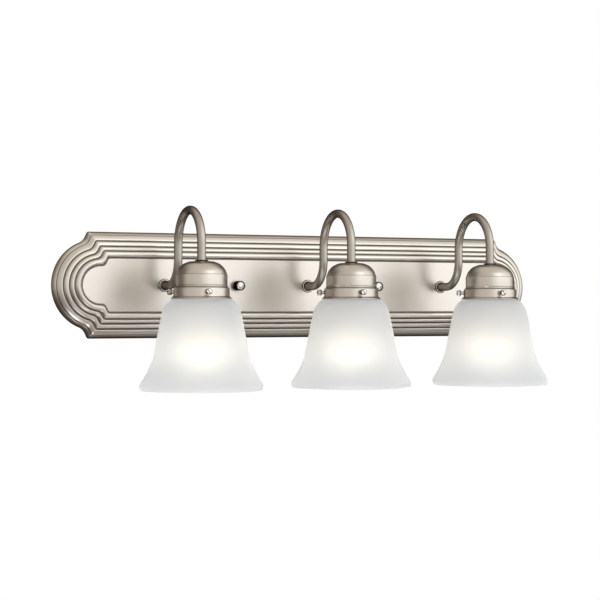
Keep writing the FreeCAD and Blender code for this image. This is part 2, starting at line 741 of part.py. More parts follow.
def splices():
    """Three wire connectors and the bare ground lead between the crossbar and its connector."""
    cones = []
    spots = [("black", "0", "lead_depth", "connector_mouth", 0.0),
             ("white", "0", "lead_depth", "-connector_mouth", 180.0),
             ("ground", "ground_connector_x", "ground_depth", "connector_mouth", 0.0)]
    for name, across, depth, level, flip in spots:
        cone = doc.addObject("Part::Cone", "wire_connector_" + name)
        bind(cone, Radius1="connector_wide", Radius2="connector_narrow", Height="connector_length")
        place(cone, x=across, y="-" + depth, z=level, axis=FORWARD, angle=flip)
        cones.append(cone)
    keep(fused("wire_connectors", cones), "wire_connectors")
    head = dim("bar_thickness") + dim("ground_head_height")
    end_x = dim("ground_connector_x")
    start_x = dim("ground_screw_x")
    depth = -dim("ground_depth")
    route = [App.Vector(start_x, -head, 0), App.Vector(start_x, depth, 0), App.Vector(end_x, depth, 0),
             App.Vector(end_x, depth, dim("connector_mouth"))]
    bends = [dim("lead_bend") * 0.8, dim("lead_bend")]
    feature("ground_lead", rod(bent_path(route, bends), dim("lead_radius")))


# ---------------------------------------------------------------- assembly
LIGHTS = [(1, "-light_spacing"), (2, "0"), (3, "light_spacing")]
SCREW_STEPS = [("a", 0.0), ("b", 120.0), ("c", 240.0)]

backplate()
mounting_bar()
bar_hardware()
cap_knobs()
arm_hardware()
splices()
for light_number, light_place in LIGHTS:
    arm(light_number, light_place)
    socket_cup(light_number, light_place)
    shade_holder(light_number, light_place)
    for screw_letter, screw_step in SCREW_STEPS:
        thumb_screw(light_number, light_place, screw_letter, screw_step)
    lampholder(light_number, light_place)
    lamp(light_number, light_place)
    shade(light_number, light_place)
    socket_leads(light_number, light_place, (light_number - 2) * dim("light_spacing"))
doc.recompute()

# ---------------------------------------------------------------- checks and export
failed = [item.Label for item in doc.Objects if "Invalid" in item.State or "Error" in item.State]
if failed:
    raise RuntimeError("these objects failed: " + ", ".join(failed))
for node in nodes:
    if node.Shape.isNull() or not node.Shape.isValid() or not node.Shape.Solids:
        raise RuntimeError("bad shape: " + node.Label)
os.makedirs("parts", exist_ok=True)
for node in nodes:
    node.Shape.exportStep(os.path.join("parts", node.Label + ".step"))
print("%d sub-parts written" % len(nodes))
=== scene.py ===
"""Looks of the three-light vanity bar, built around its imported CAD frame. Metres, +Z up, wall at y = 0."""

import json
import math

import bmesh
import bpy
from mathutils import Matrix, Vector


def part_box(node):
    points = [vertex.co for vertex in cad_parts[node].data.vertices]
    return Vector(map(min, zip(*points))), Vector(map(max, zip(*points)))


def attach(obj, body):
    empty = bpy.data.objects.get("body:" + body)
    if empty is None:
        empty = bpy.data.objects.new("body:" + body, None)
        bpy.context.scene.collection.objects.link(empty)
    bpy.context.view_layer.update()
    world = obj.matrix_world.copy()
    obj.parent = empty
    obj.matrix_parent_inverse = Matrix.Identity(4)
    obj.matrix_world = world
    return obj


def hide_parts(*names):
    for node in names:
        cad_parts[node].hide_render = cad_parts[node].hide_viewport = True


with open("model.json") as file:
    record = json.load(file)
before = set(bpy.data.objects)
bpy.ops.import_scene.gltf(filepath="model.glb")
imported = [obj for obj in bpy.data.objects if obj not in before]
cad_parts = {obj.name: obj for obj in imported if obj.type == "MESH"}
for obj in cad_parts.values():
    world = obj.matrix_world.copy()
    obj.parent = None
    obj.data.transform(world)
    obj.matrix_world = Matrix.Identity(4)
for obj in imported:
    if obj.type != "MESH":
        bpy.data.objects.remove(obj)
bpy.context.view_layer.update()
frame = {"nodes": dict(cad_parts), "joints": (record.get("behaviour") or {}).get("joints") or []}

MM = 0.001
FULL_TURN = 2 * math.pi
LIGHTS = (1, 2, 3)
SCREWS = ("a", "b", "c")
SIDES = ("left", "right")
FRONT = Vector((0, -1, 0))
UP = Vector((0, 0, 1))


def middle(node):
    """The middle of a CAD node's box."""
    low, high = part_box(node)
    return (low + high) / 2


def lamp_axis(number):
    """Where the upright axis of a light's lampholder, cup, lamp and shade crosses z = 0."""
    hub = middle("socket_body_%d" % number)
    return Vector((hub.x, hub.y, 0))


# ---------------------------------------------------------------- lines
def shares(count):
    """Evenly spaced shares from 0 to 1, both ends included."""
    return [step / count for step in range(count + 1)]


def turns(count):
    """Evenly spaced angles, once round."""
    return [FULL_TURN * step / count for step in range(count)]


def bend(start, corner, end, steps):
    """Points on the curve that rounds off a corner between start and end."""
    return [start * (1 - share) ** 2 + corner * 2 * share * (1 - share) + end * share ** 2
            for share in shares(steps)]


def flat_arc(centre, radius, start, end, steps):
    """Points in a plane on a circle, from one angle to another."""
    return [centre + Vector((math.cos(turn), math.sin(turn))) * radius
            for turn in (start + (end - start) * share for share in shares(steps))]


def rounded(points, steps):
    """A profile with rounded corners: its points are two measures, and a rounding where there is one."""
    almost_half = 0.49
    result = []
    for index, (across, along, *rounding) in enumerate(points):
        here = Vector((across, along))
        if not rounding or index in (0, len(points) - 1):
            result.append(here)
            continue
        before = Vector(points[index - 1][:2]) - here
        after = Vector(points[index + 1][:2]) - here
        reach = min(rounding[0], before.length * almost_half, after.length * almost_half)
        result += bend(here + before.normalized() * reach, here, here + after.normalized() * reach, steps)
    return result


def smooth_line(points, steps):
    """A Catmull-Rom curve through points, with this many steps between neighbours."""
    stations = [Vector(point) for point in points]
    padded = [stations[0] * 2 - stations[1]] + stations + [stations[-1] * 2 - stations[-2]]
    result = []
    for first, second, third, fourth in zip(padded, padded[1:], padded[2:], padded[3:]):
        for share in shares(steps)[:-1]:
            result.append(0.5 * (second * 2 + (third - first) * share
                                 + (first * 2 - second * 5 + third * 4 - fourth) * share ** 2
                                 + (second * 3 - first - third * 3 + fourth) * share ** 3))
    result.append(stations[-1])
    return result


def lengths_along(points):
    """How far along a line each of its points lies."""
    result = [0.0]
    for first, second in zip(points, points[1:]):
        result.append(result[-1] + (second - first).length)
    return result


def straight_points(start, end):
    """Points about 3 mm apart on a straight run."""
    steps = max(1, round((end - start).length / (3 * MM)))
    return [start.lerp(end, share) for share in shares(steps)]


def arc_points(centre, start, end):
    """Points in space on the arc about a centre from one point to another."""
    first = start - centre
    turn = first.rotation_difference(end - centre)
    return [centre + Matrix.Rotation(turn.angle * share, 3, turn.axis) @ first for share in shares(24)]


# ---------------------------------------------------------------- meshes
def new_piece(name, bm, body, material, replaces, angle=32.0):
    """A finished piece: smooth where its faces meet at less than an angle in degrees, riding on a body."""
    bmesh.ops.remove_doubles(bm, verts=bm.verts, dist=1e-7)
    bmesh.ops.recalc_face_normals(bm, faces=bm.faces)
    limit = math.radians(angle)
    for face in bm.faces:
        face.smooth = True
    for edge in bm.edges:
        edge.smooth = len(edge.link_faces) != 2 or edge.calc_face_angle(0.0) < limit
    mesh = bpy.data.meshes.new(name)
    bm.to_mesh(mesh)
    bm.free()
    piece = bpy.data.objects.new(name, mesh)
    bpy.context.scene.collection.objects.link(piece)
    mesh.materials.append(material)
    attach(piece, body)
    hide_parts(*replaces)
    return piece


def grid_faces(bm, rows, along_rows, along_columns, closed_rows, closed_columns):
    """Quads between rows of vertices; the UV map holds each vertex's place along both ways of the grid."""
    layer = bm.loops.layers.uv.verify()
    row_count = len(rows)
    column_count = len(rows[0])
    for i in range(row_count if closed_rows else row_count - 1):
        for j in range(column_count if closed_columns else column_count - 1):
            corners = [(i, j), (i, j + 1), (i + 1, j + 1), (i + 1, j)]
            verts = [rows[a % row_count][b % column_count] for a, b in corners]
            unique = list(dict.fromkeys(verts))
            if len(unique) < 3:
                continue
            face = bm.faces.new(unique)
            for loop in face.loops:
                a, b = corners[verts.index(loop.vert)]
                loop[layer].uv = (along_rows[a], along_columns[b])


def lathe(profile, centre, axis, segments=96, closed=False, swell=None):
    """A turned mesh about an axis: profile points are (radius, height) in millimetres.

    swell(turn, radius, height) may change a point's radius, for threads and knurls.
    """
    bm = bmesh.new()
    spin = axis.to_track_quat("Z", "Y").to_matrix()
    poles = {}
    rows = []
    for turn in turns(segments):
        row = []
        for number, (radius, height) in enumerate(profile):
            if radius < 1e-6:
                if number not in poles:
                    poles[number] = bm.verts.new(centre + spin @ Vector((0, 0, height)) * MM)
                row.append(poles[number])
                continue
            reach = swell(turn, radius, height) if swell else radius
            local = Vector((reach * math.cos(turn), reach * math.sin(turn), height))
            row.append(bm.verts.new(centre + spin @ local * MM))
        rows.append(row)
    flat = [Vector((radius, height)) * MM for radius, height in profile]
    grid_faces(bm, rows, shares(segments), lengths_along(flat + flat[:1]), True, closed)
    return bm


def lathe_piece(name, profile, centre, axis, replaces, material, slot="satin_nickel", body="fixture",
                **options):
    """A turned piece that stands for one or more CAD nodes."""
    return new_piece(name, lathe(profile, centre, axis, **options), body, material, replaces)


def tube(bm, path, radius, segments):
    """Add an open round tube along a list of points, carried without twist."""
    rows = []
    side = None
    for index, point in enumerate(path):
        ahead = path[min(index + 1, len(path) - 1)]
        behind = path[max(index - 1, 0)]
        heading = (ahead - behind).normalized()
        if side is None:
            side = heading.orthogonal().normalized()
        side = (side - heading * side.dot(heading)).normalized()
        other = heading.cross(side)
        rows.append([bm.verts.new(point + (side * math.cos(turn) + other * math.sin(turn)) * radius)
                     for turn in turns(segments)])
    grid_faces(bm, rows, lengths_along(path), shares(segments), False, True)


# ---------------------------------------------------------------- material nodes
def feed(node, inputs):
    """Link outputs into a node's inputs, or set them to values; a colour is given without its alpha."""
    for key, value in inputs.items():
        socket = node.inputs[key]
        if isinstance(value, bpy.types.NodeSocket):
            node.id_data.links.new(value, socket)
        elif socket.type == "RGBA":
            socket.default_value = (*value, 1)
        else:
            socket.default_value = value


def add(tree, kind, inputs, **properties):
    """A node's outputs, once its properties are set and its inputs fed."""
    node = tree.nodes.new(kind)
    for key, value in properties.items():
        setattr(node, key, value)
    feed(node, inputs)
    return node.outputs


def shader_graph(name):
    """A new material with its node tree and its Principled shader."""
    material = bpy.data.materials.new(name)
    material.use_nodes = True
    tree = material.node_tree
    return material, tree, tree.nodes["Principled BSDF"]


def show(tree, surface):
    """Put a shader on the material's surface in place of the Principled one."""
    feed(tree.nodes["Material Output"], {"Surface": surface})


def coordinates(tree, kind):
    """Texture coordinates of one kind."""
    return add(tree, "ShaderNodeTexCoord", {})[kind]


def axes(tree, place):
    """The X, Y and Z of a place."""
    return add(tree, "ShaderNodeSeparateXYZ", {"Vector": place})


def calculate(tree, operation, first, second):
    """The result of an operation on two values."""
    return add(tree, "ShaderNodeMath", {0: first, 1: second}, operation=operation)["Value"]


def noise(tree, place, scale, detail=3.0, stretch=(1, 1, 1)):
    """A noise texture over a stretched coordinate."""
    stretched = add(tree, "ShaderNodeMapping", {"Scale": stretch, "Vector": place})["Vector"]
    return add(tree, "ShaderNodeTexNoise", {"Scale": scale, "Detail": detail, "Vector": stretched})["Fac"]


def remap(tree, value, start, end, low=0.0, high=1.0, interpolation="LINEAR"):
    """A value that runs from low to high while its source runs from start to end."""
    inputs = {"From Min": start, "From Max": end, "To Min": low, "To Max": high, "Value": value}
    return add(tree, "ShaderNodeMapRange", inputs, interpolation_type=interpolation)["Result"]


def blend(tree, factor, first, second, blend_type="MIX"):
    """A colour between two colours or links, by a factor."""
    inputs = {"Factor": factor, "A": first, "B": second}
    return add(tree, "ShaderNodeMix", inputs, data_type="RGBA", blend_type=blend_type)["Result"]


def mix_shaders(tree, factor, first, second):
    """A shader between two, by a factor."""
    return add(tree, "ShaderNodeMixShader", {"Fac": factor, 1: first, 2: second})["Shader"]


def bump(tree, height, strength, distance):
    """A normal disturbed by a height."""
    inputs = {"Strength": strength, "Distance": distance, "Height": height}
    return add(tree, "ShaderNodeBump", inputs)["Normal"]


def cloudy(tree, clouds, dark, light):
    """A tone that drifts between two colours; nearly all of a noise lies between 0.3 and 0.7."""
    return blend(tree, remap(tree, clouds, 0.3, 0.7), dark, light)


# ---------------------------------------------------------------- metals
# near-black for painted shade on the metals, at sides that turn away and in the plate's grooves
SHADOW = (0.055, 0.047, 0.040)


def metal(name, light, dark, rough, brush, coordinate, grain, tint=1.0, edge=(0.6, 1.3), shade_attribute=None):
    """Brushed metal: fine lines along the stretch, cloudy tone and roughness, and painted shade where it
    turns away.

    brush holds how many lines per unit run each way, tint is how much it reflects at a glance, edge is where
    the painted shade starts and ends as the surface turns away, and the last argument names a mesh attribute
    that is 1 where the grooves take painted shade.
    """
    material, tree, shader = shader_graph(name)
    lines = noise(tree, coordinates(tree, coordinate), 1.0, 2.0, brush)
    clouds = noise(tree, coordinates(tree, "Object"), 14.0)
    facing = add(tree, "ShaderNodeLayerWeight", {"Blend": 0.5})["Facing"]
    # painted shade: the colour turns near-black where the surface turns away from view
    painted_rim_shade = remap(tree, facing, *edge, interpolation="SMOOTHSTEP")
    colour = blend(tree, painted_rim_shade, cloudy(tree, clouds, dark, light), SHADOW)
    # painted shade in the grooves, read from a mesh attribute on the plate
    if shade_attribute:
        groove_shade = add(tree, "ShaderNodeAttribute", {}, attribute_name=shade_attribute)["Fac"]
        colour = blend(tree, groove_shade, colour, SHADOW)
    both = calculate(tree, "MULTIPLY", lines, clouds)
    feed(shader, {
        "Base Color": colour,
        "Roughness": remap(tree, both, 0.15, 0.35, *rough),
        "Metallic": 1.0,
        "Specular Tint": (tint, tint * 0.97, tint * 0.94),
        "Normal": bump(tree, lines, grain, 0.02 * MM),
    })
    return material


def turned_metal(name, light, dark, rough, grain=0.03, **options):
    """Metal of a turned piece, with its lines running round the axis."""
    return metal(name, light, dark, rough, (2.0, 4000.0, 1.0), "UV", grain, **options)


def hidden_metal(name, light, dark, rough, brush=(500.0, 500.0, 50.0), grain=0.05):
    """Metal of a piece behind the plate or inside a cup."""
    return metal(name, light, dark, rough, brush, "Object", grain)


# one satin nickel in lit and shaded copies: the plate's is lighter, the cups' and fitters' darker, the arms'
# darker still
nickel_plate = metal("satin_nickel_plate", (0.78, 0.75, 0.695), (0.745, 0.715, 0.66), (0.30, 0.33),
                     (150.0, 3000.0, 3000.0), "Object", 0.03, tint=0.9, edge=(0.36, 0.82), shade_attribute="groove_shade")
nickel_tube = metal("satin_nickel_tube", (0.54, 0.51, 0.46), (0.50, 0.47, 0.42), (0.38, 0.42),
                    (40.0, 24.0, 1.0), "UV", 0.006, tint=0.3, edge=(0.34, 1.0))
nickel_turned = turned_metal("satin_nickel_turned", (0.68, 0.65, 0.60), (0.64, 0.61, 0.56), (0.26, 0.30),
                             0.05, tint=0.35, edge=(0.55, 1.3))
# polished hardware: partly its own brighter polish, partly a lighter copy as painted highlight
nickel_polished = turned_metal("nickel_hardware", (0.92, 0.90, 0.86), (0.80, 0.77, 0.73), (0.10, 0.15),
                               tint=0.1, edge=(0.13, 0.42))
# painted highlight: a lighter copy of the nickel for the crown of each arm's ring
nickel_painted_highlight = turned_metal("nickel_painted_highlight", (0.90, 0.88, 0.84), (0.80, 0.77, 0.73), (0.22, 0.28),
                             tint=0.5, edge=(0.45, 0.95))
# painted shade: a near-black copy of the nickel for the ring's foot, the cup's collar and the knobs' drums
nickel_shadowed = turned_metal("nickel_shadowed", (0.06, 0.055, 0.048), (0.05, 0.045, 0.04), (0.20, 0.28),
                               tint=0.2)
zinc = hidden_metal("zinc_plate", (0.66, 0.67, 0.68), (0.52, 0.54, 0.56), (0.30, 0.46),
                    (80.0, 420.0, 420.0), 0.08)
brass = hidden_metal("socket_brass", (0.80, 0.62, 0.32), (0.70, 0.52, 0.25), (0.26, 0.38))
aluminium = hidden_metal("lamp_base_metal", (0.80, 0.80, 0.79), (0.70, 0.70, 0.69), (0.22, 0.34))
copper = hidden_metal("bare_copper", (0.85, 0.47, 0.30), (0.70, 0.36, 0.22), (0.26, 0.40),
                      (500.0, 500.0, 500.0))


# ---------------------------------------------------------------- other materials
GRAIN_DEPTH = 0.2 * MM


def plain(name, light, dark, roughness, scale, coat=0.0, grain=0.06):
    """A moulded, glazed or painted surface with a faint change of tone and grain."""
    material, tree, shader = shader_graph(name)
    place = coordinates(tree, "Object")
    feed(shader, {
        "Base Color": cloudy(tree, noise(tree, place, scale), dark, light),
        "Roughness": roughness,
        "Coat Weight": coat,
        "Normal": bump(tree, noise(tree, place, scale * 30, 2.0), grain, GRAIN_DEPTH),
    })
    return material


def lead_material():
    """Insulation that is black on the upper run behind the plate and white on the lower run."""
    material, tree, shader = shader_graph("lead_insulation")
    place = coordinates(tree, "Object")
    above = calculate(tree, "GREATER_THAN", axes(tree, place)["Z"], 0.0)
    feed(shader, {
        "Base Color": blend(tree, above, (0.80, 0.79, 0.75), (0.02, 0.02, 0.022)),
        "Roughness": 0.4,
        "Normal": bump(tree, noise(tree, place, 1500.0), 0.05, GRAIN_DEPTH),
    })
    return material


def lamp_glass_material():
    """Soft white envelope, lit from inside: faint at the top of the globe, brightest low down."""
    material, tree, shader = shader_graph("lamp_soft_white")
    place = coordinates(tree, "Object")
    level = middle("lamp_glass_1").z
    faint, bright = 0.2, 1.80
    feed(shader, {
        "Emission Strength": remap(tree, axes(tree, place)["Z"], level + 20 * MM, level - 34 * MM,
                                   faint, bright, "SMOOTHSTEP"),
        "Emission Color": (1.0, 0.90, 0.74),
        "Base Color": blend(tree, noise(tree, place, 120.0), (0.95, 0.93, 0.88), (0.90, 0.88, 0.83)),
        "Roughness": 0.35,
    })
    return material


def shade_material():
    """Acid-etched white glass: half passes the lamp's light roughly, half scatters it like milk, greyer
    towards the neck as painted shade.
    """
    material, tree, shader = shader_graph("etched_white_glass")
    place = coordinates(tree, "Object")
    clouds = noise(tree, place, 26.0)
    low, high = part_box("shade_1")
    # painted shade under the cup and fitter: the glass turns grey towards its neck
    neck = remap(tree, axes(tree, place)["Z"], low.z + 78 * MM, high.z, interpolation="SMOOTHSTEP")
    tint = cloudy(tree, clouds, (0.92, 0.92, 0.92), (0.95, 0.95, 0.94))
    tint = blend(tree, neck, tint, (0.84, 0.845, 0.86))
    feed(shader, {
        "Base Color": tint,
        "Roughness": 0.72,
        "Transmission Weight": 1.0,
        "IOR": 1.38,
        "Normal": bump(tree, noise(tree, place, 1400.0, 2.0), 0.10, GRAIN_DEPTH),
    })
    passing = add(tree, "ShaderNodeBsdfTranslucent", {"Color": tint})["BSDF"]
    skin = add(tree, "ShaderNodeBsdfDiffuse", {"Color": tint})["BSDF"]
    milk = mix_shaders(tree, 0.45, passing, skin)
    show(tree, mix_shaders(tree, 0.5, shader.outputs["BSDF"], milk))
    return material


porcelain = plain("porcelain_glaze", (0.86, 0.85, 0.81), (0.80, 0.78, 0.73), 0.25, 40.0, 0.6, 0.03)
connector = plain("connector_orange", (0.80, 0.30, 0.06), (0.70, 0.24, 0.05), 0.5, 80.0)
green = plain("green_screw_paint", (0.06, 0.30, 0.12), (0.04, 0.24, 0.09), 0.35, 200.0, 0.3)
leads = lead_material()
lamp_white = lamp_glass_material()
etched = shade_material()


# ---------------------------------------------------------------- backplate, in millimetres
PLATE_TIP, _, PLATE_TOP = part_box("backplate")[1] / MM
END_RADIUS = 51.5
# where the long edge ends, how far this moves in with each millimetre of inset, and its rounding
CORNER_X = 263.3
CORNER_DRIFT = 0.63
CORNER_ROUNDING = 2.2
# the short shoulder leans by a tilt and runs into a hollow, whose radius shrinks with the inset
TILT = math.radians(25.0)
HOLLOW = 12.0
HOLLOW_LOSS = 0.2
SHEET = 1.0
PANEL_DEPTH = 20.5
# how far in from the rim the moulding ends and the panel starts
MOULDING = 29.8
# the three ridges start at these grooves: (inset from the rim, depth in front of the wall)
GROOVES = ((10.5, 12.2), (16.6, 16.0), (21.9, 19.4))
ARM_HOLE = 4.9
STUD_HOLE = 2.6


def quarter_outline(inset):
    """The upper right quarter of the plate's outline at an inset, from its long edge to its tip."""
    round_centre = Vector((PLATE_TIP - END_RADIUS, 0))
    round_radius = END_RADIUS - inset
    hollow = HOLLOW - HOLLOW_LOSS * inset
    corner = Vector((CORNER_X - CORNER_DRIFT * inset, PLATE_TOP - inset))
    down = Vector((math.sin(TILT), -math.cos(TILT)))
    outward = Vector((math.cos(TILT), math.sin(TILT)))
    # the shoulder runs down to where the hollow touches both it and the round end
    offset = corner + outward * hollow - round_centre
    slope = offset.dot(down)
    run = -slope - math.sqrt(slope ** 2 - offset.dot(offset) + (round_radius + hollow) ** 2)
    shoulder_end = corner + down * run
    hollow_centre = shoulder_end + outward * hollow
    spoke = (hollow_centre - round_centre).normalized()
    before = corner - Vector((CORNER_ROUNDING, 0))
    after = corner + down * CORNER_ROUNDING
    start = math.atan2(-outward.y, -outward.x) % FULL_TURN
    end = math.atan2(-spoke.y, -spoke.x) % FULL_TURN
    points = [Vector((share * before.x, corner.y)) for share in (0.0, 0.2, 0.4, 0.6, 0.8, 0.95)]
    points += bend(before, corner, after, 6)
    points += [after.lerp(shoulder_end, share) for share in shares(4)[1:]]
    points += flat_arc(hollow_centre, hollow, start, end, 10)[1:]
    points += flat_arc(round_centre, round_radius, math.atan2(spoke.y, spoke.x), 0.0, 32)[1:]
    return points


def full_outline(inset):
    """The whole outline, once round."""
    quarter = quarter_outline(inset)
    right = quarter + [Vector((p.x, -p.y)) for p in reversed(quarter[:-1])]
    return right + [Vector((-p.x, p.y)) for p in reversed(right[1:-1])]


def plate_section():
    """The stamped face from the rim to the panel, with rounded ridges between sharp grooves."""
    section = smooth_line([(0.0, 0.0), (0.4, 2.4), (1.3, 4.8), (2.5, 6.8), (3.4, 8.0)], 4)
    section += rounded([(3.4, 8.0), (3.75, 8.1, 0.15), (3.95, 9.1)], 2)
    outer_ridge = [(3.95, 9.1), (4.3, 10.0), (5.2, 10.9), (6.8, 11.8), (8.6, 12.6), (9.5, 12.85),
                   (10.0, 12.7)]
    section += smooth_line(outer_ridge, 4)[1:]
    for number, (inset, depth) in enumerate(GROOVES):
        section += rounded([(inset - 0.5, depth + 0.5), (inset, depth, 0.4), (inset + 0.35, depth + 0.6)], 4)
        crest = [(inset + 0.35, depth + 0.6), (inset + 0.75, depth + 2.1), (inset + 1.7, depth + 3.5),
                 (inset + 3.0, depth + 4.2)]
        if number < len(GROOVES) - 1:
            next_inset, next_depth = GROOVES[number + 1]
            crest += [(next_inset - 1.2, next_depth + 0.9), (next_inset - 0.5, next_depth + 0.5)]
            section += smooth_line(crest, 4)[1:-1]
        else:
            crest += [(MOULDING - 3.4, 23.9), (MOULDING - 1.9, 23.3), (MOULDING - 0.8, 22.0)]
            section += smooth_line(crest, 4)[1:]
    last_groove = [(MOULDING - 0.6, 21.3), (MOULDING - 0.3, 19.95, 0.25), (MOULDING + 0.6, 19.95, 0.25),
                   (MOULDING + 0.9, PANEL_DEPTH, 0.3), (MOULDING + 1.5, PANEL_DEPTH)]
    return section + rounded(last_groove, 3)


def hollow_section():
    """The back of the stamping, from the rim to the panel."""
    section = [(SHEET, 0.0), (SHEET + 0.6, 2.6), (SHEET + 2.5, 5.4), (SHEET + 5.0, 8.4)]
    for inset, depth in GROOVES:
        section += [(inset - 1.2, depth - 1.0), (inset + 1.3, depth - 0.9), (inset + 2.9, depth + 2.6)]
    section += [(MOULDING - 3.6, 22.5), (MOULDING - 2.4, 21.9), (MOULDING - 0.9, PANEL_DEPTH - SHEET)]
    return rounded([(inset, depth, 0.7) for inset, depth in section], 3)


# painted shade on the plate, in its grooves and over its outer ridge: (inset of the middle, half width,
# darkness)
PAINTED_SHADE_LINES = [(3.75, 0.35, 0.5), (6.5, 2.8, 0.2), (MOULDING + 0.15, 0.7, 0.9)]
PAINTED_SHADE_LINES += [(inset, 0.55, 0.85) for inset, _ in GROOVES]


def painted_shade_at(inset):
    """How much painted shade the finish takes at an inset, most in the middle of a line."""
    return max(darkness * max(0.0, 1.0 - (abs(inset - centre) / half_width) ** 2)
               for centre, half_width, darkness in PAINTED_SHADE_LINES)


def round_pairs(row):
    """The neighbours in a closed row."""
    return zip(row, row[1:] + row[:1])


def plate_skin(bm, section):
    """One side of the stamping, and its rows of vertices from the rim to the panel."""
    rows = []
    for inset, depth in section:
        rows.append([bm.verts.new(Vector((p.x, -depth, p.y)) * MM) for p in full_outline(inset)])
    for outer, inner in zip(rows, rows[1:]):
        for (a, b), (c, d) in zip(round_pairs(outer), round_pairs(inner)):
            bm.faces.new((a, b, d, c))
    return rows


def panel_with_holes(bm, border, depth, holes):
    """Fill the panel inside a border, apart from its holes, and give the holes' rims."""
    edges = [bm.edges.get(pair) for pair in round_pairs(border)]
    rims = []
    for hole_x, radius in holes:
        rim = [bm.verts.new((hole_x + radius * math.cos(turn), -depth * MM, radius * math.sin(turn)))
               for turn in turns(40)]
        edges += [bm.edges.new(pair) for pair in round_pairs(rim)]
        rims.append(rim)
    bmesh.ops.triangle_fill(bm, use_beauty=True, use_dissolve=False, edges=edges, normal=FRONT)
    return rims


def plate_mesh():
    """The stamped shell: face, back, rim and the holes for arms and studs."""
    bm = bmesh.new()
    layer = bm.loops.layers.uv.verify()
    groove_shade = bm.verts.layers.float.new("groove_shade")
    stamped = plate_section()
    face_rows = plate_skin(bm, stamped)
    back_rows = plate_skin(bm, hollow_section())
    # painted shade in the grooves and over the outer ridge, stored on each vertex of the face
    for (inset, _), row in zip(stamped, face_rows):
        darkness = painted_shade_at(inset)
        for vert in row:
            vert[groove_shade] = darkness
    for (a, b), (c, d) in zip(round_pairs(face_rows[0]), round_pairs(back_rows[0])):
        bm.faces.new((b, a, c, d))
    holes = [(middle("arm_ring_%d" % light).x, ARM_HOLE * MM) for light in LIGHTS]
    holes += [(middle("cap_knob_" + side).x, STUD_HOLE * MM) for side in SIDES]
    front_rims = panel_with_holes(bm, face_rows[-1], PANEL_DEPTH, holes)
    back_rims = panel_with_holes(bm, back_rows[-1], PANEL_DEPTH - SHEET, holes)
    for front_rim, back_rim in zip(front_rims, back_rims):
        for (a, b), (c, d) in zip(round_pairs(front_rim), round_pairs(back_rim)):
            bm.faces.new((a, b, d, c))
    for face in bm.faces:
        for loop in face.loops:
            loop[layer].uv = (loop.vert.co.x, loop.vert.co.z)
    return bm


# ---------------------------------------------------------------- arms
TUBE_RADIUS = 4.7625 * MM
TUBE_BORE = 3.9 * MM
TUBE_SEGMENTS = 48
ROOT_BEND = 29.0 * MM
# from the lamp's axis back to the gooseneck's rising leg
BACK_LEG = 73.5 * MM
PAST_NUT = 0.3 * MM


def arm_path(number):
    """A gooseneck's centre line, from behind the panel to just below its nut in the cup."""
    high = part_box("arm_%d" % number)[1]
    axis = lamp_axis(number)

    def at(y, z):
        return Vector((axis.x, y, z))

    back_y = axis.y + BACK_LEG
    arch_top = high.z - TUBE_RADIUS
    arch_level = arch_top - BACK_LEG / 2
    hub = at(axis.y + BACK_LEG / 2, arch_level)
    crown = at(hub.y, arch_top)
    path = straight_points(at(high.y, 0), at(back_y + ROOT_BEND, 0))
    path += arc_points(at(back_y + ROOT_BEND, ROOT_BEND), path[-1], at(back_y, ROOT_BEND))[1:]
    path += straight_points(path[-1], at(back_y, arch_level))[1:]
    path += arc_points(hub, path[-1], crown)[1:]
    path += arc_points(hub, crown, at(axis.y, arch_level))[1:]
    path += straight_points(path[-1], at(axis.y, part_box("cup_nuts")[0].z - PAST_NUT))[1:]
    return path


def close_ring(bm, point, heading):
    """Close the gap between a tube's outer and inner wall at one of its ends."""
    direction = heading.normalized()
    near = [vert for vert in bm.verts
            if abs((vert.co - point).dot(direction)) < 1e-6 and (vert.co - point).length < 6 * MM]
    touching = dict.fromkeys(edge for vert in near for edge in vert.link_edges)
    bmesh.ops.bridge_loops(bm, edges=[edge for edge in touching if len(edge.link_faces) == 1])


def arm_pieces(number):
    """The tube; the ring on the panel as a near-black foot, a painted shadow, under a crown lit as painted
    highlight; and the collar on the cup, in near-black painted shade.
    """
    tag = "_%d" % number
    path = arm_path(number)
    bm = bmesh.new()
    for radius in (TUBE_RADIUS, TUBE_BORE):
        tube(bm, path, radius, TUBE_SEGMENTS)
    close_ring(bm, path[0], path[1] - path[0])
    close_ring(bm, path[-1], path[-1] - path[-2])
    new_piece("arm_tube" + tag, bm, "fixture", nickel_tube, ["arm" + tag], 40.0)
    foot = rounded([(4.8, 0.0), (7.5, 0.0), (7.5, 0.5, 0.2), (6.6, 0.9, 0.2), (4.8, 0.9)], 4)
    crown = rounded([(5.3, 0.8), (6.7, 0.8), (6.9, 1.3, 0.3), (6.5, 1.8, 0.3), (5.9, 1.8, 0.3),
                     (5.5, 1.3, 0.2)], 4)
    collar = rounded([(4.8, 0.0), (7.0, 0.0), (7.1, 0.7, 0.3), (6.6, 1.2, 0.3), (4.8, 1.3)], 4)
    on_panel = Vector((path[0].x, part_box("arm_ring" + tag)[1].y, 0))
    on_cup = lamp_axis(number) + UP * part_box("cup_collar" + tag)[0].z
    ring = ["arm_ring" + tag]
    # painted shadow round the ring on the panel, then the ring's crown as painted highlight
    lathe_piece("arm_seat_foot" + tag, foot, on_panel, FRONT, ring, nickel_shadowed, closed=True)
    lathe_piece("arm_seat_ring" + tag, crown, on_panel, FRONT, ring, nickel_painted_highlight, closed=True)
    # painted shade: the cup's collar in near-black
    lathe_piece("cup_seat_collar" + tag, collar, on_cup, UP, ["cup_collar" + tag], nickel_shadowed,
                closed=True)


